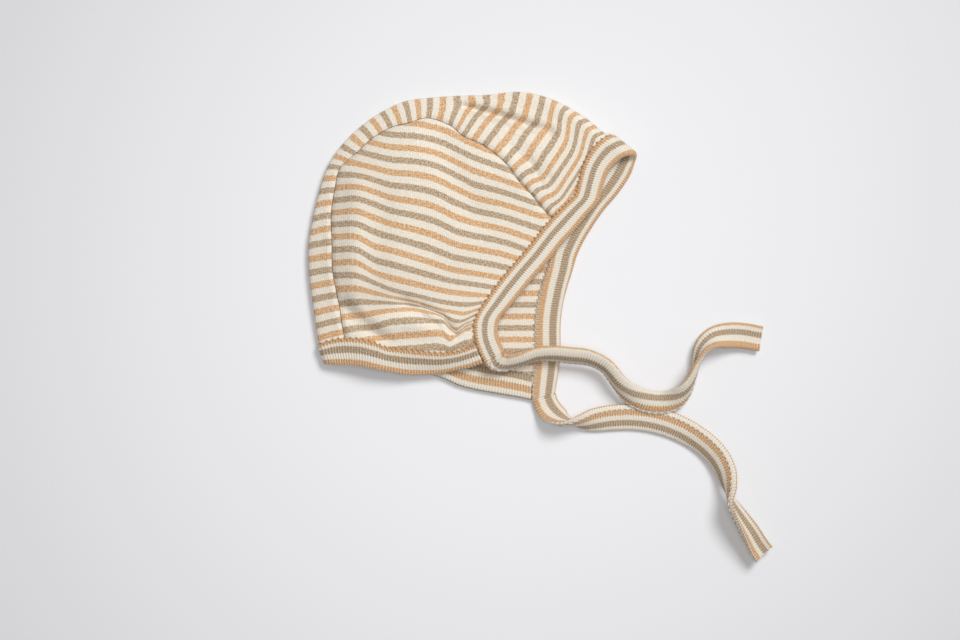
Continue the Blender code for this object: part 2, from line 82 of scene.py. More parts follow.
# across, up, lift of the lower edge as a share of the width, roll and cup in degrees, and how far the
# stripes have moved round the fold in millimetres
RIGHT_TIE = (
    (19.02, 4.05, 0.6, 25, -45, 0.3), (19.65, 3.85, 0.44, 42, -75, 0.7),
    (20.4, 3.93, 0.36, 57, -100, 1.1), (21.5, 4.2, 0.33, 64, -112, 1.5),
    (22.8, 4.6, 0.32, 62, -112, 1.8), (24.3, 4.66, 0.33, 57, -110, 1.9),
    (26, 4.5, 0.34, 54, -108, 2), (27.9, 4.25, 0.31, 56, -108, 2.1),
    (29.5, 3.45, 0.25, 61, -108, 2.3), (30.8, 1.85, 0.23, 56, -105, 2.9),
    (32, 0.78, 0.23, 38, -100, 3.7), (33.6, 0.08, 0.27, 15, -92, 4.3),
    (35.3, -0.12, 0.27, 9, -90, 4.4), (36.8, 0.3, 0.2, 32, -92, 3.9),
    (37.75, 1.15, 0.16, 58, -90, 3.1), (38.4, 2.4, 0.19, 78, -90, 2.5),
    (38.85, 4, 0.23, 97, -85, 2.4), (39.4, 5.4, 0.23, 119, -60, 2.4),
    (40.4, 6.35, 0.2, 144, -40, 2.4), (41.8, 6.72, 0.14, 165, -30, 2.4),
    (43.4, 6.72, 0.06, 174, -30, 2.4), (45.25, 6.4, 0.02, 176, -50, 2.4),
)
LEFT_TIE = (
    (23.85, -0.35, 0.04, -4, 0, 0.5), (24.4, -1.1, 0.03, -22, 30, 1.5),
    (25.15, -1.7, 0.03, -54, 60, 2.5), (26.1, -2, 0.03, -88, 90, 3.5),
    (27.15, -2, 0.03, -120, 70, 3.9), (28.5, -1.75, 0.03, -150, 30, 3.9),
    (30.3, -1.5, 0.03, -168, 15, 3.9), (32.5, -1.45, 0.03, -172, 20, 3.9),
    (34.8, -1.8, 0.03, -172, 25, 3.9), (37.1, -2.6, 0.03, -168, 35, 3.9),
    (39.1, -3.8, 0.06, -158, 50, 3.9), (40.6, -5.2, 0.12, -153, 58, 3.9),
    (41.45, -6.7, 0.19, -140, 66, 3.9), (41.8, -8.4, 0.27, -114, 78, 3.9),
    (42, -10, 0.31, -76, 98, 3.9), (42.85, -11.5, 0.28, -56, 106, 3.9),
    (43.95, -13.1, 0.2, -38, 108, 3.9), (44.7, -14.3, 0.14, -27, 106, 3.9),
    (45.35, -15.15, 0.1, -20, 104, 3.9),
)
# Where each tie leaves its chin: across, up, lean of the width, share of the width
RIGHT_CHIN_END = (17.55, 4.05, 30, 0.9)
LEFT_CHIN_END = (22.3, 0.3, 17, 0.94)
TIE_LEAD = 0.001
# How far from its chin a tie takes to be full width and to be as thin as its cloth
WIDENS_OVER = 0.02
THINS_OVER = 0.006
# The sewn edge is pressed flat: how far in, and to what share of the thickness
PRESSED_IN = 0.0025
PRESSED_TO = 0.62
LEAST_BEND = 0.001

# Stripes over the loop of the section in millimetres from the fold: below zero on the inner face
RIGHT_TIE_STRIPES = (
    (ORANGE, -10), (CREAM, -8), (TAUPE, -5), (CREAM, -1.7), (ORANGE, 3.5), (CREAM, 7.2),
    (TAUPE, 10), (CREAM, 12.4), (ORANGE, 15.2), (CREAM, 19),
)
FACE_STRIPES = (
    (CREAM, -13.8), (ORANGE, -10.3), (CREAM, -7), (TAUPE, -3.3), (CREAM, -1.4), (ORANGE, 3.5),
    (CREAM, 7), (TAUPE, 9.9), (CREAM, 12.3), (ORANGE, 15.2), (CREAM, 17.3), (ORANGE, 19),
)
# Where the stripes move: all round the right tie, and on the left tie's outer face
WHOLE_LOOP = (-16.0, -15.0)
OUTER_FACE = (-1.5, 1.5)
STRIPE_REACH = 20.0
BORDER = 0.16
TOOTH = 0.26
# Ragged borders, how far they stray, and flecks of pale fibre, each with its scale across and along
# the knit and its detail, then where flecks begin and are full
RIB_RAGGED = (0.6, 0.9, 2.0)
RIB_STRAY = 0.5
RIB_FLECKS = (2.6, 1.7, 3.0)
RIB_FLECKED = (0.34, 0.66)
# How dark the painted shade in the valleys between ribs is in cream, and how much darker in orange and
# taupe
RIB_VALLEY_SHADE = (0.13, 0.19, 0.24)
# Shares of the flecks and of the knit in the fine relief, and its depth
RIB_RELIEF = (0.5, 0.6)
WEAVE_DEPTH = 0.00012

COLOURS = {
    ORANGE: ((0.57, 0.30, 0.125, 1.0), (0.85, 0.60, 0.375, 1.0)),
    TAUPE: ((0.36, 0.26, 0.16, 1.0), (0.68, 0.53, 0.375, 1.0)),
    CREAM: ((0.77, 0.70, 0.585, 1.0), (0.89, 0.83, 0.72, 1.0)),
}
COTTON = {"Roughness": 0.92, "Specular IOR Level": 0.2, "Sheen Weight": 0.25, "Sheen Roughness": 0.5}
NOISE_ROUGHNESS = 0.65


def plan(across, up):
    """Points of the plan in metres, from squares."""
    return np.stack([(across - MIDDLE_ACROSS) * SQUARE, (up - MIDDLE_UP) * SQUARE], axis=-1)


def squares(points):
    """Squares across and up, from points of the plan in metres."""
    return points / SQUARE + (MIDDLE_ACROSS, MIDDLE_UP)


def unit(vectors):
    return vectors / np.linalg.norm(vectors, axis=-1, keepdims=True)


def run_of(points):
    """Length along a polyline at each of its points."""
    steps = np.linalg.norm(np.diff(points, axis=0), axis=1)
    return np.concatenate([[0.0], np.cumsum(steps)])


def hermite(start, end, slope_in, slope_out, t):
    """A smooth step from start to end with its slopes, at shares t of the way."""
    return (
        start * (2 * t**3 - 3 * t**2 + 1)
        + slope_in * (t**3 - 2 * t**2 + t)
        + end * (3 * t**2 - 2 * t**3)
        + slope_out * (t**3 - t**2)
    )


def curve(knots, rows, at):
    """A smooth curve through rows of numbers, read at places along its knots."""
    knots, rows, at = (np.asarray(part, float) for part in (knots, rows, at))
    span = np.clip(np.searchsorted(knots, at, side="right") - 1, 0, len(knots) - 2)
    before = np.maximum(span - 1, 0)
    after = np.minimum(span + 2, len(knots) - 1)
    start, end = rows[span], rows[span + 1]
    length = knots[span + 1] - knots[span]
    slope_in = (end - rows[before]) * (length / (knots[span + 1] - knots[before]))[..., None]
    slope_out = (rows[after] - start) * (length / (knots[after] - knots[span]))[..., None]
    return hermite(start, end, slope_in, slope_out, ((at - knots[span]) / length)[..., None])


class Shade:
    """A socket in a material. Sums written on it add their Math nodes."""

    def __init__(self, tree, socket):
        self.tree = tree
        self.socket = socket

    def node(self, kind, settings, inputs, output=0):
        made = self.tree.nodes.new("ShaderNode" + kind)
        stops = settings.pop("stops", ())
        for name, value in settings.items():
            setattr(made, name, value)
        for number, (place, colour) in enumerate(stops):
            ramp = made.color_ramp.elements
            stop = ramp[number] if number < 2 else ramp.new(place)
            stop.position = place
            stop.color = colour
        for name, value in inputs.items():
            if isinstance(value, Shade):
                self.tree.links.new(value.socket, made.inputs[name])
            else:
                made.inputs[name].default_value = value
        return Shade(self.tree, made.outputs[output])

    def math(self, operation, *others):
        return self.node("Math", {"operation": operation}, dict(enumerate([self, *others])))

    def __add__(self, other):
        return self.math("ADD", other)

    def __sub__(self, other):
        return self.math("SUBTRACT", other)

    def __rsub__(self, other):
        return self.node("Math", {"operation": "SUBTRACT"}, {0: other, 1: self})

    def __mul__(self, other):
        return self.math("MULTIPLY", other)

    def rise(self, low, high):
        """0 below one value, 1 above another and smooth in between."""
        return self.node("MapRange", {"interpolation_type": "SMOOTHSTEP"},
                         {"Value": self, "From Min": low, "From Max": high})

    def wave(self):
        """1 at whole numbers and 0 half way between them."""
        return (self * math.tau).math("COSINE") * 0.5 + 0.5

    def blend(self, low, high):
        """One colour where this is 0 and another where it is 1."""
        return self.node("Mix", {"data_type": "RGBA"}, {0: self, 6: low, 7: high}, output=2)

    def into(self, shader, name):
        self.tree.links.new(self.socket, shader.inputs[name])


def noise(across, along, wide, long, detail):
    """Cloudy pattern from 0 to 1 on two coordinates."""
    spot = across.node("CombineXYZ", {}, {"X": across * wide, "Y": along * long})
    return spot.node("TexNoise", {"noise_dimensions": "2D"},
                     {"Vector": spot, "Scale": 1.0, "Detail": detail, "Roughness": NOISE_ROUGHNESS})


def set_inputs(node, values):
    for socket, value in values.items():
        node.inputs[socket].default_value = value


def new_cotton(name):
    """A matt cotton material, its shader, and the two coordinates of its knitting."""
    material = bpy.data.materials.new(name)
    material.use_nodes = True
    tree = material.node_tree
    shader = tree.nodes["Principled BSDF"]
    set_inputs(shader, COTTON)
    coordinates = Shade(tree, tree.nodes.new("ShaderNodeTexCoord").outputs["UV"])
    across = coordinates.node("SeparateXYZ", {}, {0: coordinates})
    along = coordinates.node("SeparateXYZ", {}, {0: coordinates}, output=1)
    return material, shader, across, along


def knit_up(shader, orange, taupe, fleck, wave, valleys, relief):
    """Colour and fine relief of striped knitting: dyed yarn is spun with pale fibres, and painted shade
    darkens the valleys of the knit.
    """
    in_cream, in_orange, in_taupe = valleys
    # Painted shade: the colour is darkened in the valleys between ribs and between wales, where shadow
    # falls.
    shade = 1 - wave * (orange * in_orange + taupe * in_taupe + in_cream)
    colours = {name: fleck.blend(deep, pale) for name, (deep, pale) in COLOURS.items()}
    colour = orange.blend(colours[CREAM], colours[ORANGE])
    colour = taupe.blend(colour, colours[TAUPE])
    shaded = shade.node("Mix", {"data_type": "RGBA", "blend_type": "MULTIPLY"},
                        {0: 1.0, 6: colour, 7: shade}, output=2)
    shaded.into(shader, "Base Color")
    of_fleck, of_knit = relief
    height = fleck * of_fleck + (1 - wave) * of_knit
    bump = height.node("Bump", {}, {"Height": height, "Distance": WEAVE_DEPTH, "Strength": 1.0})
    bump.into(shader, "Normal")


def striped_rib(name, stripes):
    """Rib with lengthwise stripes; the coordinates are millimetres across and ribs along."""
    material, shader, across, along = new_cotton(name)
    rib = along.wave()
    ragged = noise(across, along, *RIB_RAGGED)
    place = across + (rib - 0.5) * TOOTH * 2 + (ragged - 0.5) * RIB_STRAY
    codes = {ORANGE: (1.0, 0.0, 0.0, 1.0), TAUPE: (0.0, 1.0, 0.0, 1.0), CREAM: (0.0, 0.0, 0.0, 1.0)}
    stops = [(0.0, codes[stripes[0][0]])]
    for (before, border), (after, _) in zip(stripes, stripes[1:]):
        for side, colour in ((-BORDER, before), (BORDER, after)):
            stops.append(((border + side + STRIPE_REACH) / (2 * STRIPE_REACH), codes[colour]))
    share = place * (0.5 / STRIPE_REACH) + 0.5
    mask = share.node("ValToRGB", {"stops": stops}, {0: share})
    orange = mask.node("SeparateColor", {}, {0: mask})
    taupe = mask.node("SeparateColor", {}, {0: mask}, output=1)
    fleck = noise(across, along, *RIB_FLECKS).rise(*RIB_FLECKED)
    knit_up(shader, orange, taupe, fleck, rib, RIB_VALLEY_SHADE, RIB_RELIEF)
    return material


def add_piece(name, points, knit, material, closed=False):
    """A grid of points as one piece, with the knitting's coordinates; closed joins its last column
    to its first and covers both ends."""
    rows, columns = points.shape[:2]
    row, column = np.meshgrid(np.arange(rows - 1), np.arange(columns - (not closed)), indexing="ij")
    corners = [(row, column), (row + 1, column), (row + 1, column + 1), (row, column + 1)]
    faces = np.stack([r * columns + c % columns for r, c in corners], axis=-1).reshape(-1, 4)
    spots = np.stack([knit[r, c] for r, c in corners], axis=-2).reshape(-1, 2)
    ends = [np.arange(columns), np.arange(columns)[::-1] + (rows - 1) * columns] if closed else []
    mesh = bpy.data.meshes.new(name)
    mesh.from_pydata(points.reshape(-1, 3), [], [*faces.tolist(), *[end.tolist() for end in ends]])
    for end in ends:
        spots = np.vstack([spots, knit[:, :columns].reshape(-1, 2)[end]])
    mesh.uv_layers.new(name="knit").data.foreach_set("uv", spots.ravel().astype(np.float32))
    mesh.materials.append(material)
    mesh.shade_smooth()
    piece = bpy.data.objects.new(name, mesh)
    bpy.context.scene.collection.objects.link(piece)
    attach(piece, "root")
    return piece


def rib_relief(along):
    """How far the valleys between ribs lie in, at a place counted in ribs."""
    return -RIB_DEPTH * (1 - np.abs(np.sin(math.pi * along)))


def tie_route(rows, chin_end, level):
    """Centre, travel, width direction, cup and stripe shift of a tie at a few points to each rib."""
    across, up, lean, share = chin_end
    lean = math.radians(lean)
    over = np.array([math.cos(lean), math.sin(lean)])
    start = plan(across, up) + over * share * BAND_WIDTH / 2
    onward = np.array([over[1], -over[0]])
    places = [[*spot, level, 0.0, 0.0, 0.0] for spot in (start, start + onward * TIE_LEAD)]
    for across, up, lift, roll, cup, slip in rows:
        turn = math.radians(roll)
        half = BAND_WIDTH / 2 * abs(math.sin(turn)) + TIE_THICKNESS / 2 * abs(math.cos(turn))
        places.append([*plan(across, up), lift * BAND_WIDTH + half, turn, math.radians(cup), slip])
    places = np.array(places)
    knots = run_of(places[:, :3])
    count = round(knots[-1] / TIE_RIB * RIB_POINTS)
    line = curve(knots, places, np.linspace(0, knots[-1], count + 1))
    centre, turn, cup, slip = line[:, :3], line[:, 3], line[:, 4], line[:, 5]
    travel = np.gradient(centre, axis=0)
    travel[0, :2] = onward * np.linalg.norm(travel[0, :2])
    travel = unit(travel)
    level_left = unit(np.stack([-travel[:, 1], travel[:, 0], np.zeros(len(travel))], axis=1))
    across = level_left * np.cos(turn)[:, None] + np.array([0, 0, 1]) * np.sin(turn)[:, None]
    across = unit(across - travel * (across * travel).sum(axis=1, keepdims=True))
    run = run_of(centre)
    return centre, travel, across, cup, slip, run


FACE_POINTS = 13
ROUND_POINTS = 7
TIE_ROUND = TIE_THICKNESS / 2


def tie_loop():
    """Run over the width and rise of a flat tie's section, from its sewn edge over the inner face
    to the fold and back, with the length along it counted from the fold."""
    flat = np.linspace(-1, 1, FACE_POINTS) * (BAND_WIDTH / 2 - TIE_ROUND)
    turns = np.linspace(-math.pi / 2, math.pi / 2, ROUND_POINTS)[1:-1]
    fold = np.stack([flat[-1] + TIE_ROUND * np.cos(turns), TIE_ROUND * np.sin(turns)], axis=1)
    sewn = -fold
    half = len(sewn) // 2
    inner = np.stack([flat, np.full(FACE_POINTS, -TIE_ROUND)], axis=1)
    loop = np.vstack([sewn[half:], inner, fold, -inner, sewn[:half + 1]])
    run = run_of(loop)
    return loop, run - run[-1] / 2


def ease(share):
    """Rises smoothly from 0 to 1 and stays level at both ends."""
    share = np.clip(share, 0.0, 1.0)
    return share * share * (3 - 2 * share)


def add_tie(name, node, rows, chin_end, level, stripes, moving, outer_up):
    """One tie, as wide and as thick as the band at its start."""
    centre, travel, across, cup, slip, run = tie_route(rows, chin_end, level)
    loop, over = tie_loop()
    over = over / MILLIMETRE if outer_up else -over / MILLIMETRE
    along = run / TIE_RIB
    width = np.interp(run, [0, WIDENS_OVER], [chin_end[3], 1.0])
    swell = np.interp(run, [0, THINS_OVER], [BAND_HALF / TIE_ROUND, 1.0])[:, None]
    sideways = loop[:, 0] * width[:, None]
    edge = -BAND_WIDTH / 2
    pinch = np.interp(loop[:, 0], [edge, edge + PRESSED_IN], [PRESSED_TO, 1.0])
    rise = loop[:, 1] * pinch * swell + np.sign(loop[:, 1]) * rib_relief(along)[:, None]
    bend = (cup / BAND_WIDTH)[:, None]
    bend = np.where(np.abs(bend) < LEAST_BEND, LEAST_BEND, bend)
    turn = bend * sideways
    aside = np.sin(turn) / bend - rise * np.sin(turn)
    lift = (1 - np.cos(turn)) / bend + rise * np.cos(turn)
    up = np.cross(travel, across)
    points = centre[:, None] + across[:, None] * aside[..., None] + up[:, None] * lift[..., None]
    first, last = moving
    over = over + slip[:, None] * ease((over - first) / (last - first))
    knit = np.stack(np.broadcast_arrays(over, along[:, None]), axis=-1)
    tie = add_piece(name, points[:, :-1], knit, striped_rib(name, stripes), closed=True)
    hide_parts(node)
    path = centre[::RIB_POINTS * 2]
    path = np.vstack([path, centre[-1:]])
    return points


right_tie_points = add_tie("tie_right_rib", "tie_right", RIGHT_TIE, RIGHT_CHIN_END, EDGE_LOFT,
                           RIGHT_TIE_STRIPES, WHOLE_LOOP, True)
left_tie_points = add_tie("tie_left_rib", "tie_left", LEFT_TIE, LEFT_CHIN_END, BAND_HALF,
                          FACE_STRIPES, OUTER_FACE, False)


# Crown panel
# One strip of single jersey from the nape over the head to the brow, cut so that its stripes run
# across it. The bonnet lies on its side, so the strip is folded lengthwise round the outline.
CLOTH = 0.001
NECK_BAND_WIDTH = 0.013
TUCK = 0.3
CROWN_LOFT = 0.018
FOLD_DEPTH = 0.0045
LOFT_REACH = 0.045
FLOOR_REACH = 0.024
CREASE_REACH = 0.012
# At the back both layers lie almost flat on the table along the fold, and at the brow it stands open.
FOLD_LOFT = 0.0055
FOLD_RISE = 0.026
OPEN_ACROSS = (19.0, 28.0)
# The neck band hangs down below the right ear: middle across, half width in squares, drop in metres
HANG = (12.3, 4.0, 0.0065)
WALE = 0.001
UPPER, UNDER = 0, 1

# Face edge from the right chin over the brow to the left chin:
# across, up, lean of the width in degrees, share of the band's width
FACE_ROWS = (
    RIGHT_CHIN_END, (17, 5.1, 21, 0.92), (16.55, 6.4, 9.5, 0.93), (16.45, 7.7, 2, 0.96),
    (16.75, 8.8, -5, 0.95), (17.7, 10.3, -19, 0.94), (18.9, 12, -32, 0.95), (20.3, 13.7, -32, 0.95),
    (21.7, 15.3, -31, 0.95), (23.1, 17.1, -29, 0.96), (24.2, 18.4, -28, 1), (25.5, 19.7, -22, 0.95),
    (26.5, 20.7, -14, 0.95), (26.9, 22.1, -9, 0.98), (27.35, 23.7, -14, 1.02), (28.15, 25.2, -25, 1.09),
    (29.15, 26.25, -35, 1.13), (30.3, 26.55, -38, 1.16),
    (30.2, 25.4, -34, 1.09), (29.6, 24, -28, 1.09), (28.5, 22.2, -27, 1.05), (27.2, 20.5, -23, 1.02),
    (26.1, 18.8, -21, 1), (25.1, 17.1, -18, 1), (24.3, 15.3, -13, 1), (23.8, 13.5, -7, 1),
    (23.2, 11.6, -7, 1), (22.8, 9.8, -4, 1), (22.6, 7.8, -2, 1), (22.6, 5.5, 2, 1),
    (22.5, 3.3, 5, 0.98), (22.35, 1.5, 10, 0.96), LEFT_CHIN_END,
)
BROW = 17

# Neck edge from the right chin round the nape to the left chin, in the same columns
NECK_ROWS = (
    (15.7, 5.5, -78, 0.77), (14.6, 5.2, -87, 0.75), (13.1, 5.1, -87, 0.83), (11.3, 5.25, -85, 0.94),
    (9.6, 5.4, -88, 1), (7.9, 5.55, -90, 0.94), (6.7, 6, -94, 1.02), (5.3, 6.4, -90, 1.08),
    (3.7, 6.5, -84, 1.08), (2.3, 6.3, -79, 1), (1.09, 5.89, -69.4, 0.82),
    (2.4, 6.2, -78, 0.9), (4.1, 6.3, -81, 0.95), (6.3, 6.2, -83, 0.97), (8.6, 5.9, -85, 0.96),
    (11.1, 5.4, -90, 0.92), (13.4, 4.9, -95, 0.93), (15.3, 4.2, -97, 0.97), (17.3, 3.7, -97, 0.97),
    (19.4, 3.35, -94, 0.98), (21.1, 3, -94, 0.96),
)
NAPE = 11
# Right side, then left: share of the neck band's width that its end takes of the face edge, and the
# rows of the neck and face edges where the crown's seam meets them
CHIN_SHARES = (0.76, 0.92)
SEAMS_AT_NECK = (9.0, 12.78)
SEAMS_AT_FACE = (10.0, 23.2)

# Stripes from the nape to the brow: number, then across and up at the lengthwise fold, half way and
# at the right seam. Even stripes are orange and odd ones taupe.
CENTRE_ROWS = (
    (-0.5, 1.09, 5.89, 2.35, 6.25, 3.6, 6.5), (1, 0.78, 7.7, 2, 8.05, 3.25, 8.3),
    (3, 0.4, 10.3, 1.6, 10.6, 2.85, 10.8), (5, 0.1, 13, 1.25, 13.2, 2.4, 13.35),
    (7, 0.05, 15.7, 1.2, 15.95, 2.35, 16.1), (9, 0.45, 18.4, 1.35, 18.65, 2.25, 18.75),
    (11, 1.1, 21.1, 1.85, 21.25, 2.6, 21.3), (13, 1.95, 23.6, 2.55, 23.6, 3.15, 23.5),
    (15, 3.3, 25.7, 3.95, 25.3, 4.7, 24.9), (17, 5.2, 27.6, 5.8, 27, 6.3, 26.4),
    (19, 7.3, 29.05, 7.8, 28.3, 8.2, 27.5), (21, 9.6, 30.1, 9.9, 29.1, 10.1, 28),
    (23, 12.1, 30.45, 12.05, 29.4, 11.9, 28.45), (25, 14.8, 30.65, 14.5, 29.1, 14.1, 27.7),
    (27, 17.8, 30.75, 16.8, 29, 15.4, 26.6), (29, 20.8, 31.05, 19.6, 28.8, 17.5, 25.6),
    (31, 23.4, 30.6, 22, 27.7, 19.5, 24), (33, 25.8, 29.55, 23.8, 26, 20.9, 22.2),
    (35, 27.85, 28.25, 25.6, 24.7, 22.3, 20.7), (37, 29.4, 26.98, 26.7, 23.1, 23.7, 19),
    (38.4, 30.3, 26.55, 27.4, 22.6, 24.54, 18.32),
)
NECK_STRIPE = -1
APEX_STRIPE = 20
BROW_STRIPE = 39
LEFT_SEAM_LEAD = (0.75, -1.6)
LEAD_STRIPES = (21, 37)

# Folds pressed into the upper layer: line and half width in squares, share of the crown's loft
CREASES = (
    (((3.7, 9.9), (7.5, 6.2)), 0.7, -0.14), (((9.6, 10), (14.6, 6.9)), 0.7, -0.14),
    (((7.6, 8.1), (13.1, 7.5)), 1.2, 0.11), (((13.1, 26.3), (16.6, 18.8)), 1.6, -0.08),
    (((4.7, 21.8), (4.5, 11.8)), 1.2, 0.08), (((7.6, 20.3), (6.9, 13.8)), 1.4, -0.06),
    (((15.3, 29.9), (23.9, 27.2)), 0.7, -0.16), (((20.3, 26.5), (23.8, 22.3)), 0.6, -0.11),
)
# Sharper folds that show in the top layer: line and half width in squares, rise in metres
CROWN_RIDGE = ((16.2, 30.3), (17.8, 29.8), (19, 29.5), (20.2, 29.1), (21.5, 28.6), (22.75, 28.2),
               (24, 27.8), (24.8, 27.25))
CROWN_DIP = ((15.6, 29.7), (17.2, 29.1), (18.6, 28.7), (19.8, 28.3), (21.1, 27.8), (22.4, 27.4))
BROW_RIDGE = ((20.4, 26.1), (21.5, 25), (22.5, 24.3), (23.3, 22.9), (23.7, 22.1))
BROW_DIP = ((20.1, 25.6), (21.1, 24.6), (22, 23.8), (22.8, 22.5), (23.2, 21.7))
PINCH_DIP = ((11.3, 9.7), (12.3, 9.25), (13.4, 8.7), (14.1, 7.6), (14.7, 6.7))
PINCH_RIDGE = ((11.8, 9), (12.9, 8.4), (13.6, 7.5), (14.2, 6.6))
CHIN_DIP = ((14.7, 6.8), (15.4, 7.3), (16.3, 7.9))
NAPE_DIP = ((3.3, 9.4), (4.2, 8.3), (5.1, 7.5), (7.1, 6.4))
NAPE_RIDGE = ((4.6, 9.9), (5.6, 8.6), (6.9, 7.6), (8.6, 7))
SHARP_FOLDS = (
    (CROWN_RIDGE, 0.42, 0.0014), (CROWN_DIP, 0.6, -0.0025), (BROW_RIDGE, 0.36, 0.0010),
    (BROW_DIP, 0.5, -0.0018), (PINCH_DIP, 0.33, -0.0016), (PINCH_RIDGE, 0.36, 0.0011),
    (CHIN_DIP, 0.4, -0.0009), (NAPE_DIP, 0.55, -0.0014), (NAPE_RIDGE, 0.7, 0.0008),
)
SHARP_REACH = 0.005
# Where the crown's stripes bend over a fold: line, reach in squares, shift in stripes
KINKS = ((CROWN_RIDGE, 1.5, 0.36), (BROW_RIDGE, 0.8, 0.14))
# Near the brow the stripes bend away at both ends: where that starts and is full, and how far they
# move at shares of the way from fold to seam
SWAY_STRIPES = (31.0, 34.5)
SWAY_SHARES = (0.0, 0.1, 0.35, 0.6, 0.8, 0.92, 1.0)
SWAY = (0.0, 0.58, -0.2, -0.4, -0.45, 0.0, 0.0)
LINE_POINTS = 240
STRIPE_POINTS = 80
BATCH = 4000
STRIPE_ROWS = 300
FOLD_COLUMNS = 9
STRIP_COLUMNS = 26
OPEN_SEAM = 0.0005
SEAM_DIP = 0.0011
SEAM_SOFTNESS = 0.0012
# The jersey's stripes: half widths where they begin and end to fade, then the rest as for the rib
STRIPE_HALF = (0.205, 0.285)
JERSEY_TOOTH = 0.04
JERSEY_RAGGED = (5.0, 0.5, 2.0)
JERSEY_STRAY = 0.12
JERSEY_FLECKS = (10.0, 0.9, 3.0)
JERSEY_FLECKED = (0.32, 0.68)
# Painted shade in the valleys between wales, as for the rib
JERSEY_VALLEY_SHADE = (0.03, 0.10, 0.10)
JERSEY_RELIEF = (0.6, 0.5)


def resample(points, shares):
    """Points at given shares of the length of a polyline."""
    run = run_of(points)
    return np.stack([np.interp(shares * run[-1], run, column) for column in points.T], axis=1)


def nearest(points, line):
    """Shortest ways from points to a polyline, and the stretch of the line that each one meets."""
    starts = line[:-1]
    runs = line[1:] - starts
    ways = np.empty(len(points))
    found = np.empty(len(points), int)
    for part in np.array_split(np.arange(len(points)), max(1, len(points) // BATCH)):
        reach = points[part, None] - starts
        along = np.clip((reach * runs).sum(axis=2) / (runs * runs).sum(axis=1), 0.0, 1.0)
        gaps = np.linalg.norm(reach - runs * along[..., None], axis=2)
        found[part] = gaps.argmin(axis=1)
        ways[part] = gaps.min(axis=1)
    return ways, starts[found], runs[found]


def band_table(rows, full_width):
    """A band's rows in metres: its seam side, then the vector over its width."""
    across, up, lean, share = np.array(rows, float).T
    lean = np.radians(lean)
    width = np.stack([np.cos(lean), np.sin(lean)], axis=1) * share[:, None] * full_width
    return np.hstack([plan(across, up), width])


def band_at(table, rows):
    """Seam side and width of a band at its rows, whole or in between."""
    found = curve(np.arange(len(table)), table, rows)
    return found[..., :2], found[..., 2:]


def line_across(table, share, first, last):
    """A band's line at a share of its width, between two of its rows."""
    seam_side, width = band_at(table, np.linspace(first, last, LINE_POINTS))
    return seam_side + share * width


def chin_rows(end, share):
    """Rows of the face edge where the neck band's folded edge and its seam meet it."""
    rows = np.linspace(end, BROW, LINE_POINTS)
    run = run_of(band_at(FACE, rows)[0])
    return end, float(np.interp(share * NECK_BAND_WIDTH, run, rows))


def chin_end(edge_row, seam_row):
    """The neck band's end, held clear of the seam side of the face band."""
    seam_side, width = band_at(FACE, np.array([seam_row, edge_row]))
    ends = seam_side - unit(width) * 2 * SEAM_GAP
    return np.concatenate([ends[0], ends[1] - ends[0]])


def end_stripe(tucks):
    """The row of the crown panel that lies inside a band."""
    halves = [resample(tuck, np.array([0.5, 1.0])).ravel() for tuck in tucks]
    return np.concatenate([tucks[UPPER][0], halves[UPPER], halves[UNDER]])


def centre_table():
    """Stripes of the crown panel, each with its fold, then middle and seam of either layer."""
    first_lead, last_lead = LEAD_STRIPES
    stripes = [NECK_STRIPE]
    rows = [end_stripe(NECK_TUCKS)]
    for stripe, *places in CENTRE_ROWS:
        fold, middle, seam = (plan(*places[at:at + 2]) for at in (0, 2, 4))
        led = np.clip((stripe - first_lead) / (last_lead - first_lead), 0, 1)
        left_seam = seam + led * np.array(LEFT_SEAM_LEAD) * SQUARE
        stripes.append(stripe)
        rows.append(np.concatenate([fold, middle, seam, (fold + left_seam) / 2, left_seam]))
    stripes.append(BROW_STRIPE)
    rows.append(end_stripe(FACE_TUCKS))
    return np.array(stripes, float), np.array(rows)


def fold_line():
    """The lengthwise fold from below the nape over the head to beyond the brow."""
    head = curve(STRIPES, CENTRE, np.linspace(NECK_STRIPE, BROW_STRIPE, LINE_POINTS))[:, :2]
    nape_side, nape_width = band_at(NECK, np.array([NAPE, NAPE]))
    brow_side, brow_width = band_at(FACE, np.array([BROW, BROW]))
    shares = np.array([[2.0], [1.0]])
    return np.vstack([nape_side + shares * nape_width, head, brow_side + shares[::-1] * brow_width])


FACE = band_table(FACE_ROWS, BAND_WIDTH)
LEFT_END = len(FACE) - 1
CHINS = [chin_rows(*chin) for chin in zip((0, LEFT_END), CHIN_SHARES)]
right_chin, left_chin = (chin_end(*rows) for rows in CHINS)
NECK = np.vstack([right_chin, band_table(NECK_ROWS, NECK_BAND_WIDTH), left_chin])
NECK_END = len(NECK) - 1
NECK_TUCKS = [line_across(NECK, TUCK, NAPE, row) for row in SEAMS_AT_NECK]
FACE_TUCKS = [line_across(FACE, TUCK, BROW, row) for row in SEAMS_AT_FACE]
FACE_EDGES = [line_across(FACE, 1.0, *rows) for rows in ((0, BROW), (BROW, LEFT_END))]
NECK_EDGES = [line_across(NECK, 1.0, *rows) for rows in ((0, NAPE), (NAPE, NECK_END))]
STRIPES, CENTRE = centre_table()
FOLD = fold_line()


def fold_depth(points):
    """How far points lie inside the lengthwise fold."""
    ways, starts, runs = nearest(points, FOLD)
    reach = points - starts
    inside = runs[:, 0] * reach[:, 1] - runs[:, 1] * reach[:, 0] < 0
    return np.where(inside, ways, 0.0)


def way_from(points, corners, reach):
    """How far points lie from a line in squares, in shares of a reach."""
    return nearest(points, plan(*np.array(corners).T))[0] / (reach * SQUARE)


def folded(points, folds):
    """Height that folds add."""
    height_there = np.zeros(len(points))
    for corners, half_width, rise in folds:
        way = way_from(points, corners, half_width)
        height_there += rise * np.exp(-way * way)
    return height_there


def kinked(points):
    """How far the stripes are carried along the crown where it folds."""
    shift = np.zeros(len(points))
    for corners, reach, amount in KINKS:
        shift -= amount * np.exp(-way_from(points, corners, reach))
    return shift


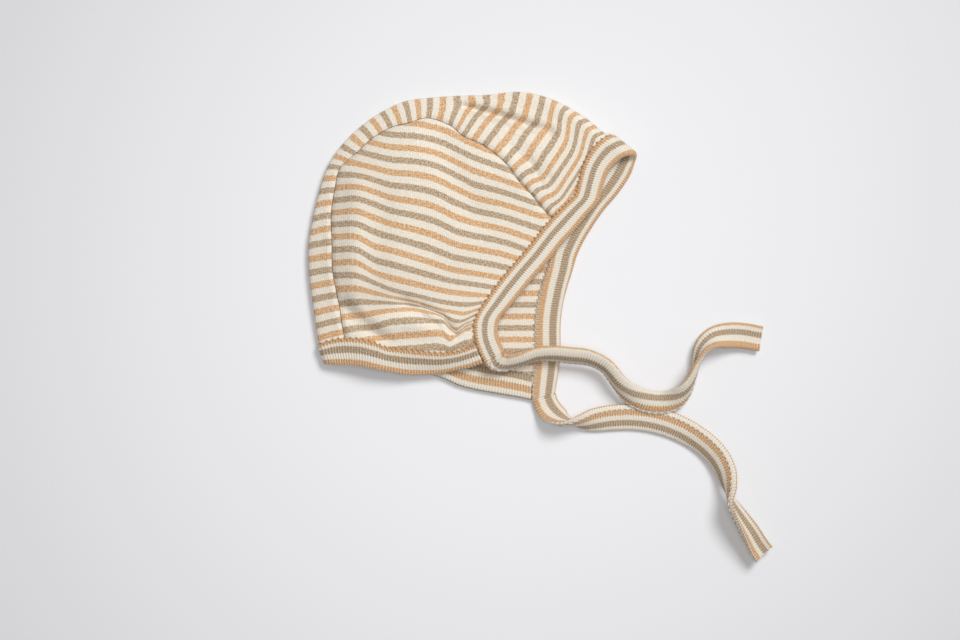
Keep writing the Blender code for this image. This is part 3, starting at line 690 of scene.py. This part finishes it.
def swayed(stripes, shares):
    """How far the stripes move along the crown near the brow."""
    first, full = SWAY_STRIPES
    amount = curve(SWAY_SHARES, np.array(SWAY)[:, None], shares.ravel()).reshape(shares.shape)
    return amount * ease((stripes[:, None] - first) / (full - first))


def edge_loft(points, from_fold):
    """Height of the upper layer at the edges of the bonnet."""
    first, last = OPEN_ACROSS
    closed = 1 - ease((squares(points)[:, 0] - first) / (last - first))
    return EDGE_LOFT - (EDGE_LOFT - FOLD_LOFT) * closed * (1 - ease(from_fold / FOLD_RISE))


def fold_middle(points):
    """Height of the lengthwise fold."""
    return (edge_loft(points, np.zeros(len(points))) + BAND_HALF) / 2


def height(points, layer):
    """Height of the middle of the cloth over points of the plan."""
    from_face = nearest(points, FACE_EDGES[layer])[0] - BAND_WIDTH
    from_neck = nearest(points, NECK_EDGES[layer])[0] - NECK_BAND_WIDTH
    from_fold = fold_depth(points)

    def clear_of_edges(reach):
        return ease(from_face / reach) * ease(from_neck / reach) * ease(from_fold / reach)

    if layer == UPPER:
        edge = edge_loft(points, from_fold)
        middle, half_width, drop = HANG
        hang = np.exp(-((squares(points)[:, 0] - middle) / half_width) ** 2)
        edge = edge - drop * hang * np.clip(-from_neck / NECK_BAND_WIDTH, 0, 1)
        flat = edge + (CROWN_LOFT - edge) * clear_of_edges(LOFT_REACH)
        flat = flat + CROWN_LOFT * folded(points, CREASES) * clear_of_edges(CREASE_REACH)
        flat = flat + folded(points, SHARP_FOLDS) * clear_of_edges(SHARP_REACH)
    else:
        clear = ease(from_face / FLOOR_REACH) * ease(from_neck / FLOOR_REACH)
        flat = BAND_HALF - (BAND_HALF - CLOTH / 2) * clear
    round_off = 1 - np.minimum(from_fold / FOLD_DEPTH, 1.0)
    centre = fold_middle(points)
    return centre + (flat - centre) * np.sqrt(1 - round_off**2)


def on_cloth(points, layer):
    flat = points.reshape(-1, 2)
    return np.column_stack([flat, height(flat, layer)]).reshape(*points.shape[:-1], 3)


def stripe_ends(stripes, layer):
    """Fold, middle and seam of the crown panel at its stripes."""
    rows = curve(STRIPES, CENTRE, stripes)
    middle, seam = (rows[:, 2:4], rows[:, 4:6]) if layer == UPPER else (rows[:, 6:8], rows[:, 8:])
    return rows[:, :2], middle, seam


def stripe_lines(stripes, layer):
    """Each stripe of the crown panel from its fold to its seam."""
    fold, middle, seam = (side[:, None] for side in stripe_ends(stripes, layer))
    bend = 2 * middle - (fold + seam) / 2
    shares = np.linspace(0, 1, STRIPE_POINTS)[:, None]
    return fold * (1 - shares) ** 2 + 2 * bend * shares * (1 - shares) + seam * shares**2


def striped_jersey(name):
    """Jersey with stripes along its courses; the coordinates are stripes and wales."""
    material, shader, across, along = new_cotton(name)
    wale = along.wave()
    ragged = noise(across, along, *JERSEY_RAGGED) - 0.5
    place = across + (wale - 0.5) * JERSEY_TOOTH + ragged * JERSEY_STRAY
    middle = place.math("ROUND")
    yarn = 1 - (place - middle).math("ABSOLUTE").rise(*STRIPE_HALF)
    odd = (middle * 0.5).math("FRACT") * 2
    fleck = noise(across, along, *JERSEY_FLECKS).rise(*JERSEY_FLECKED)
    knit_up(shader, yarn * (1 - odd), yarn * odd, fleck, wale, JERSEY_VALLEY_SHADE, JERSEY_RELIEF)
    return material


def wall(piece):
    """Gives a sheet the thickness of its cloth, to both sides."""
    thickness = piece.modifiers.new("wall", "SOLIDIFY")
    thickness.thickness = CLOTH
    thickness.offset = 0.0


def add_crown(name, node):
    stripes = np.linspace(NECK_STRIPE, BROW_STRIPE, STRIPE_ROWS)
    turns = np.linspace(0, math.pi / 2, FOLD_COLUMNS + 1)[1:]
    levels = FOLD_DEPTH * (1 - np.cos(turns))
    halves = []
    runs = []
    for layer in (UPPER, UNDER):
        points = []
        places = []
        for line in stripe_lines(stripes, layer):
            length = run_of(line)[-1] - OPEN_SEAM / 2
            rest = levels[-1] + (length - levels[-1]) * np.linspace(0, 1, STRIP_COLUMNS)[1:]
            place = np.array([*levels, *rest])
            points.append(resample(line, place / (length + OPEN_SEAM / 2)))
            places.append(place)
        points = on_cloth(np.array(points), layer)
        places = np.array(places)
        to_seam = (places[:, -1:] - places) / SEAM_SOFTNESS
        side = 1 if layer == UPPER else -1
        points[..., 2] -= side * SEAM_DIP * np.exp(-to_seam**2)
        halves.append(points)
        runs.append(side * places)
    fold = stripe_ends(stripes, UPPER)[0]
    middle = np.column_stack([fold, fold_middle(fold)])[:, None]
    points = np.concatenate([halves[UNDER][:, ::-1], middle, halves[UPPER]], axis=1)
    zero = np.zeros((len(stripes), 1))
    along = np.concatenate([runs[UNDER][:, ::-1], zero, runs[UPPER]], axis=1) / WALE
    shown = stripes[:, None] + np.zeros_like(along)
    top = halves[UPPER].shape[1]
    kink = kinked(halves[UPPER][..., :2].reshape(-1, 2)).reshape(len(stripes), top)
    shown[:, -top:] += kink * ease(runs[UPPER] / SHARP_REACH)
    shown[:, -top:] += swayed(stripes, runs[UPPER] / runs[UPPER][:, -1:])
    knit = np.stack([shown, along], axis=-1)
    crown = add_piece(name, points, knit, striped_jersey(name))
    wall(crown)
    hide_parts(node)
    return crown


crown = add_crown("crown_jersey", "crown_panel")


# Side panels
# One to each side of the head, cut from the same jersey with the stripes running level. Their top and
# back edges are sewn to the crown panel, and their face and neck edges lie in the bands.
PANEL_CELLS = 170

# The right panel as it lies: the pixel column of each chart column, then a charted stripe and its
# height in pixels at each column. 10 pixels are a square.
CHART_COLUMNS = (338, 357, 375, 392, 415, 432, 443, 450, 457, 464, 472, 485, 505, 540)
CHART = (
    (1, 112, 124, 131.5, 135.5, 137.3, 140.5, 144, 147, 150.5, 154, 158, 163, 170, 184),
    (4, 161, 164.3, 169, 173.4, 175.6, 179, 183.3, 187, 190.3, 193.3, 197.3, 200.8, 205.5, 216.5),
    (7, 200.5, 199.5, 205, 211.5, 216.5, 221, 225.5, 229, 232, 234, 235.8, 238.2, 242.7, 255),
    (10, 237, 237.5, 246.5, 251, 257.8, 263, 266.8, 269, 270.5, 271.7, 273, 275.3, 279, 288),
    (12, 263, 263, 272.8, 278.2, 283.8, 288, 290.5, 291.8, 292.8, 293.7, 294.6, 295.8, 297.5, 300),
    (13, 275.3, 275.9, 282.8, 289.7, 295.2, 299.8, 302, 303.2, 304.2, 304.6, 304.4, 302, 299, 295),
    (14, 289, 288.5, 293, 297, 301.2, 306.5, 310, 311.5, 312.8, 313.5, 311.5, 307, 304, 300),
    (15, 304, 301.8, 302.2, 303, 304.8, 310, 314, 318.4, 321.2, 320.5, 316.5, 311, 308, 304),
    (16, 318, 315.5, 312.8, 310.3, 309.8, 313.5, 318, 325.4, 328.6, 324, 321.2, 315, 311, 307),
    (17, 331, 328.5, 326.5, 321.8, 320.7, 320.9, 321.8, 329, 333, 327.5, 324, 318, 314, 310),
    (18, 344, 341.5, 338.7, 336.3, 334.6, 333.2, 334, 338, 335.5, 330.4, 326.5, 321, 318, 314),
    (19, 357, 354, 351.5, 349.5, 348, 346.5, 347.2, 349.3, 346.5, 344.5, 343, 338, 334, 330),
)
CHART_LEFT = 309
CHART_FLOOR = 403
PIXELS_TO_SQUARE = 10
# The left panel's stripes lie level and even: height in pixels of one orange stripe, and their pitch
LEFT_STRIPE = (14, 270.0, 11.6)


def seam_points(stripes, layer):
    """Points of a side panel's seam edge, half the seam's gap past the crown panel's."""
    lines = stripe_lines(stripes, layer)
    return lines[:, -1] + unit(lines[:, -1] - lines[:, -2]) * OPEN_SEAM / 2


def side_points(layer):
    """Points of a side panel, spread evenly between its four borders, and those of its seams."""
    shares = np.linspace(0, 1, PANEL_CELLS + 1)
    back = seam_points(np.linspace(NECK_STRIPE, APEX_STRIPE, PANEL_CELLS + 1), layer)
    top = seam_points(np.linspace(APEX_STRIPE, BROW_STRIPE, PANEL_CELLS + 1), layer)
    edge_row, seam_row = CHINS[layer]
    chin_row = seam_row + TUCK * (edge_row - seam_row)
    face = line_across(FACE, TUCK, chin_row, SEAMS_AT_FACE[layer])
    neck = line_across(NECK, TUCK, SEAMS_AT_NECK[layer], (0, NECK_END)[layer])
    neck = resample(np.vstack([back[:1], neck[1:], face[:1]]), shares)
    face = resample(np.vstack([face[:-1], top[-1:]]), shares)
    u = shares[None, :, None]
    v = shares[:, None, None]
    ruled = neck[None] * (1 - v) + top[None] * v + back[:, None] * (1 - u) + face[:, None] * u
    corners = (neck[0] * (1 - u) + neck[-1] * u) * (1 - v) + (top[0] * (1 - u) + top[-1] * u) * v
    return ruled - corners, np.vstack([back, top[1:]])


def charted_stripe(column, level):
    """Stripe at places of the chart, given in pixels."""
    chart = np.array(CHART, float)
    stripes = chart[:, 0]
    levels = curve(CHART_COLUMNS, chart[:, 1:].T, np.clip(column, CHART_COLUMNS[0], CHART_COLUMNS[-1]))
    span = np.clip((levels < level[:, None]).sum(axis=1) - 1, 0, len(stripes) - 2)

    def level_at(row):
        return np.take_along_axis(levels, row[:, None], axis=1)[:, 0]

    before, after = np.maximum(span - 1, 0), np.minimum(span + 2, len(stripes) - 1)
    length = level_at(span + 1) - level_at(span)
    slope_in = (stripes[span + 1] - stripes[before]) / (level_at(span + 1) - level_at(before))
    slope_out = (stripes[after] - stripes[span]) / (level_at(after) - level_at(span))
    t = (level - level_at(span)) / length
    inside = hermite(stripes[span], stripes[span + 1], slope_in * length, slope_out * length, t)
    above = stripes[0] + slope_in * (level - level_at(span))
    below = stripes[-1] + slope_out * (level - level_at(span + 1))
    return np.where(t < 0, above, np.where(t > 1, below, inside))


def add_side(name, node, layer):
    plan_points, seam = side_points(layer)
    points = on_cloth(plan_points, layer)
    flat = plan_points.reshape(-1, 2)
    to_seam = (nearest(flat, seam)[0] / SEAM_SOFTNESS).reshape(points.shape[:2])
    side = 1 if layer == UPPER else -1
    points[..., 2] -= side * SEAM_DIP * np.exp(-to_seam**2)
    across, up = squares(flat).T
    column = across * PIXELS_TO_SQUARE + CHART_LEFT
    level = CHART_FLOOR - up * PIXELS_TO_SQUARE
    if layer == UPPER:
        stripe = charted_stripe(column, level)
    else:
        known, place, pitch = LEFT_STRIPE
        stripe = known + (level - place) / pitch
    knit = np.stack([stripe, flat[:, 0] / WALE], axis=-1).reshape(*points.shape[:2], 2)
    panel = add_piece(name, points, knit, striped_jersey(name))
    wall(panel)
    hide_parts(node)
    return panel


right_side = add_side("right_side_jersey", "side_panel_right", UPPER)
left_side = add_side("left_side_jersey", "side_panel_left", UNDER)


# Neck band
# A strip of cotton rib folded round the raw neck edge and sewn down on both sides, from chin to chin
# round the nape. Its stripes run along it, and a chain stitch follows its upper edge.
NECK_STRIPES = (
    (TAUPE, -11), (CREAM, -8.5), (ORANGE, -4.8), (CREAM, -1.7), (TAUPE, 0), (CREAM, 1.3),
    (ORANGE, 4.5), (CREAM, 7.5), (TAUPE, 10.8), (CREAM, 12.6), (ORANGE, 18),
)
NECK_RIB = 0.00142
FULL_OVER = 14.4
FLANGE_SHARES = (0, 0.03, 0.07, 0.14, 0.28, 0.42, 0.56, 0.7, 0.85, 1)
LINING_SHARES = (0, 0.14, 0.5, 1)
BEND_POINTS = 11
LINING_POINTS = 5
FLANGE_LOW = 0.00075
LINING_HALF = 0.00058
FLANGE_ROUND = 0.0018
DENSE_ROWS = 900
CROWDING = 2.5


def outward(points, layer):
    """Unit vectors out of the bonnet, square to the cloth."""
    flat = points.reshape(-1, 2)
    nudge = 2e-5
    ways, _, runs = nearest(flat, FOLD)
    slopes = [(height(flat + step, layer) - height(flat - step, layer)) / (2 * nudge)
              for step in np.eye(2) * nudge]
    up = unit(np.stack([-slopes[0], -slopes[1], np.ones(len(flat))], axis=1))
    up = up if layer == UPPER else -up
    aside = unit(np.stack([-runs[:, 1], runs[:, 0], np.zeros(len(flat))], axis=1))
    return np.where((ways < nudge)[:, None], aside, up).reshape(*points.shape[:-1], 3)


def band_stations(table, fold_row, last_row, rib):
    """Rows of a band at even steps of its middle line, over the lengthwise fold too, their places
    from the fold and their number of ribs."""
    spread = np.linspace(0, 1, DENSE_ROWS) ** CROWDING
    runs = []
    for end, layer in ((0, UPPER), (last_row, UNDER)):
        rows = fold_row + (end - fold_row) * spread
        seam_side, width = band_at(table, rows)
        middle = on_cloth(seam_side + width / 2, layer)
        runs.append((rows, run_of(middle)))
    (upper_rows, upper_run), (under_rows, under_run) = runs
    ribs = round((upper_run[-1] + under_run[-1]) / rib)
    places = np.linspace(-upper_run[-1], under_run[-1], ribs * RIB_POINTS + 1)
    rows = np.interp(places, [*-upper_run[::-1], *under_run[1:]], [*upper_rows[::-1], *under_rows[1:]])
    return rows, places, np.linspace(0, ribs, len(places))


def band_section(rows, table, layer, along):
    """Points round a folded strip's section at rows of one layer, outer side first, and the length
    over its outer side counted from the fold."""
    seam_side, width = (part[:, None] for part in band_at(table, rows))
    straight = np.linalg.norm(width, axis=2, keepdims=True) - BAND_HALF
    across = unit(width)
    flange = np.array(FLANGE_SHARES)[None, :, None] * straight
    lining = np.array(LINING_SHARES)[None, :, None] * straight
    relief = rib_relief(along)[:, None, None]
    parts = []
    overs = []
    bends = [(flange, np.linspace(0, math.pi, BEND_POINTS)[1:-1]),
             (lining, np.linspace(0, math.pi, LINING_POINTS)[1:-1])]
    for outer, (runs, turns) in zip((True, False), bends):
        points = seam_side + across * runs
        cloth = on_cloth(points, layer)
        aside = outward(points, layer)
        if outer:
            near = np.minimum(runs / FLANGE_ROUND, 1.0)
            rounded = np.sqrt(1 - (1 - near) ** 2)
            reach = FLANGE_LOW + (BAND_HALF - FLANGE_LOW) * rounded + relief * near
        else:
            reach = np.full(runs.shape, LINING_HALF)
        last = cloth[:, -1:]
        level = np.concatenate([across, np.zeros_like(across[..., :1])], axis=2)
        rim = reach[:, -1:]
        cosine, sine = np.cos(turns)[None, :, None], np.sin(turns)[None, :, None]
        bend = last + (aside[:, -1:] * cosine + level * sine) * rim
        side = [cloth + aside * reach, bend, (cloth - aside * reach)[:, ::-1]]
        parts.append(np.concatenate(side, axis=1))
        over = (straight - runs)[..., 0] + BAND_HALF * math.pi / 2
        bent = np.broadcast_to(BAND_HALF * (math.pi / 2 - turns), (len(rows), len(turns)))
        overs.append(np.concatenate([over, bent, -over[:, ::-1]], axis=1))
    points = np.concatenate([parts[0], parts[1][:, ::-1]], axis=1)
    over = np.concatenate([overs[0], overs[1][:, ::-1]], axis=1)
    return points, np.concatenate([over, over[:, :1]], axis=1)


def add_band(name, node, table, fold_row, last_row, rib, stripes, roll):
    """A folded strip sewn round an edge of the bonnet; roll is how far it turns at some of its rows."""
    rows, places, along = band_stations(table, fold_row, last_row, rib)
    upper = places <= 0
    sections = [band_section(rows[part], table, layer, along[part])
                for part, layer in ((upper, UPPER), (~upper, UNDER))]
    points = np.vstack([section[0] for section in sections])
    over = np.vstack([section[1] for section in sections])
    over = over / over[:, :1] * FULL_OVER + np.interp(rows, *np.array(roll).T)[:, None]
    knit = np.stack(np.broadcast_arrays(over, along[:, None]), axis=-1)
    band = add_piece(name, points, knit, striped_rib(name, stripes), closed=True)
    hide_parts(node)
    return band, points


neck_band, neck_points = add_band("neck_rib", "neck_band", NECK, NAPE, NECK_END, NECK_RIB, NECK_STRIPES,
                                 ((0, 0), (NECK_END, 0)))


# Face binding
# The same rib folded round the face edge, from the right chin over the brow to the left chin, where
# it runs on into the ties. Orange lies along its fold, and a zigzag holds its outer edge down.
FACE_RIB = 0.0012
# row of the face edge, and the roll there in millimetres
FACE_ROLL = ((0, 0), (BROW, 0), (BROW + 1.5, 1.4), (24, 1.4), (26.5, 0), (LEFT_END, 0))

face_band, face_points = add_band("face_rib", "face_binding", FACE, BROW, LEFT_END, FACE_RIB, FACE_STRIPES,
                                 FACE_ROLL)


# Stitching
# Thick cotton thread, dyed orange or left cream: a zigzag that holds the face binding down, and
# chain stitch along the neck band, along the lining side of both bands and along the ties.
THREAD_SIDES = 6
THREAD_RADIUS = 0.00026
THREAD_LIFT = 0.0002
THREAD_TWIST = 0.5
# How bright the painted shade in the grooves of a thread's twist is, as a share of its colour
THREAD_SHADE = 0.45
THREAD_COLOURS = {
    ORANGE: (0.72, 0.39, 0.16, 1.0),
    CREAM: (0.86, 0.80, 0.70, 1.0),
    TAUPE: (0.40, 0.33, 0.25, 1.0),
}


def plain_thread(name, colour):
    """Twisted thread in one colour, with painted shade in the grooves of its twist; the coordinates are
    turns round it and twists along it.
    """
    material, shader, across, along = new_cotton(name)
    twist = (across + along).wave()
    # The darker colour along the twist is painted shade.
    deep = tuple(THREAD_SHADE * part for part in colour[:3]) + (1.0,)
    twist.blend(colour, deep).into(shader, "Base Color")
    return material


THREADS = {dye: plain_thread(dye + "_thread", colour) for dye, colour in THREAD_COLOURS.items()}


def add_thread(name, spots, out, colour):
    """A thread through the given points, lying on the cloth."""
    centre = spots + out * THREAD_LIFT
    centre[:, 2] = np.maximum(centre[:, 2], THREAD_RADIUS)
    ahead = unit(np.gradient(centre, axis=0))
    beside = unit(np.cross(ahead, out))
    over = np.cross(beside, ahead)
    turns = np.linspace(0, 2 * math.pi, THREAD_SIDES + 1)[:-1]
    ring = beside[:, None] * np.cos(turns)[:, None] + over[:, None] * np.sin(turns)[:, None]
    points = centre[:, None] + ring * THREAD_RADIUS
    round_it = np.linspace(0, 1, THREAD_SIDES + 1)
    knit = np.stack(np.broadcast_arrays(round_it, np.arange(len(spots))[:, None] * THREAD_TWIST), axis=-1)
    thread = add_piece(name, points, knit, THREADS[colour], closed=True)


def zigzag(name, points, columns, way, beyond, colour):
    """One slanting stitch to each rib, from past the first column of the cloth to the second and back.
    The way over the cloth runs from the second column of its pair to the first."""
    ribs = points[::RIB_POINTS]
    beside = ribs[:, way[0]] - ribs[:, way[1]]
    spots = [ribs[:, column] for column in columns]
    outs = [unit(np.cross(np.gradient(line, axis=0), beside)) for line in spots]
    outs = [out * np.sign(((line - ribs.mean(axis=1)) * out).sum(axis=1, keepdims=True))
            for line, out in zip(spots, outs)]
    spots[0] = spots[0] + unit(beside) * beyond
    even = (np.arange(len(ribs)) % 2 == 0)[:, None]
    add_thread(name, np.where(even, *spots), np.where(even, *outs), colour)


# How far the stitches reach past a band's edge, and the columns along its edge on the lining's side
# and along the sewn edge of either tie
PAST = 0.0006
LINING = len(FLANGE_SHARES) * 2 + BEND_POINTS - 3
RIGHT_SEWN = ROUND_POINTS // 2 + 2 * FACE_POINTS + ROUND_POINTS - 4
LEFT_SEWN = ROUND_POINTS // 2 + 1

for stitching in (
    ("face_stitching", face_points, (0, 3), (0, 5), PAST, ORANGE),
    ("face_lining_stitching", face_points, (LINING, LINING - 3), (LINING, LINING - 5), PAST, CREAM),
    ("neck_stitching", neck_points, (0, 2), (0, 5), PAST, ORANGE),
    ("neck_lining_stitching", neck_points, (LINING, LINING - 3), (LINING, LINING - 5), PAST, TAUPE),
    ("tie_right_stitching", right_tie_points, (RIGHT_SEWN, RIGHT_SEWN - 1),
     (RIGHT_SEWN + 1, RIGHT_SEWN - 2), 0.0, CREAM),
    ("tie_left_stitching", left_tie_points, (LEFT_SEWN, LEFT_SEWN + 1),
     (LEFT_SEWN - 1, LEFT_SEWN + 2), 0.0, CREAM),
):
    zigzag(*stitching)


# Table and light
# A white table under a wide, soft studio lamp above it to the right, in a room with warm white walls.
TABLE_SIZE = 6.0
TABLE_LEVEL = -0.0002
TABLE = {"Base Color": (0.818, 0.83, 0.856, 1.0), "Roughness": 0.7, "Specular IOR Level": 0.1}
ROOM = {"Color": (1.0, 0.95, 0.92, 1.0), "Strength": 0.255}
# Place, power, radius and cone in degrees. The round lamp by the camera fills the shadows.
LAMPS = {
    "studio_lamp": ((0.85, 0.98, 1.75), 147.0, 0.48, 43.0),
    "ring_lamp": ((*VIEW_MIDDLE, 1.7), 38.0, 0.3, 31.0),
}

bpy.ops.mesh.primitive_plane_add(size=TABLE_SIZE, location=(0, 0, TABLE_LEVEL))
table = bpy.context.object
table.name = "table_top"
top = bpy.data.materials.new("white_table")
top.use_nodes = True
set_inputs(top.node_tree.nodes["Principled BSDF"], TABLE)
table.data.materials.append(top)
bpy.ops.object.select_all(action="DESELECT")

room = bpy.data.worlds.new("studio")
room.use_nodes = True
set_inputs(room.node_tree.nodes["Background"], ROOM)
bpy.context.scene.world = room

for name, (place, power, radius, cone) in LAMPS.items():
    light = bpy.data.lights.new(name, "SPOT")
    light.energy = power
    light.shadow_soft_size = radius
    light.spot_size = math.radians(cone)
    light.spot_blend = 1.0
    lamp = bpy.data.objects.new(name, light)
    lamp.location = place
    aim = np.array([*VIEW_MIDDLE, 0.0]) - np.array(place)
    turn = math.atan2(aim[1], aim[0]) - math.pi / 2
    lamp.rotation_euler = (math.atan2(math.hypot(aim[0], aim[1]), -aim[2]), 0.0, turn)
    bpy.context.scene.collection.objects.link(lamp)

bpy.context.scene.view_settings.view_transform = "Standard"
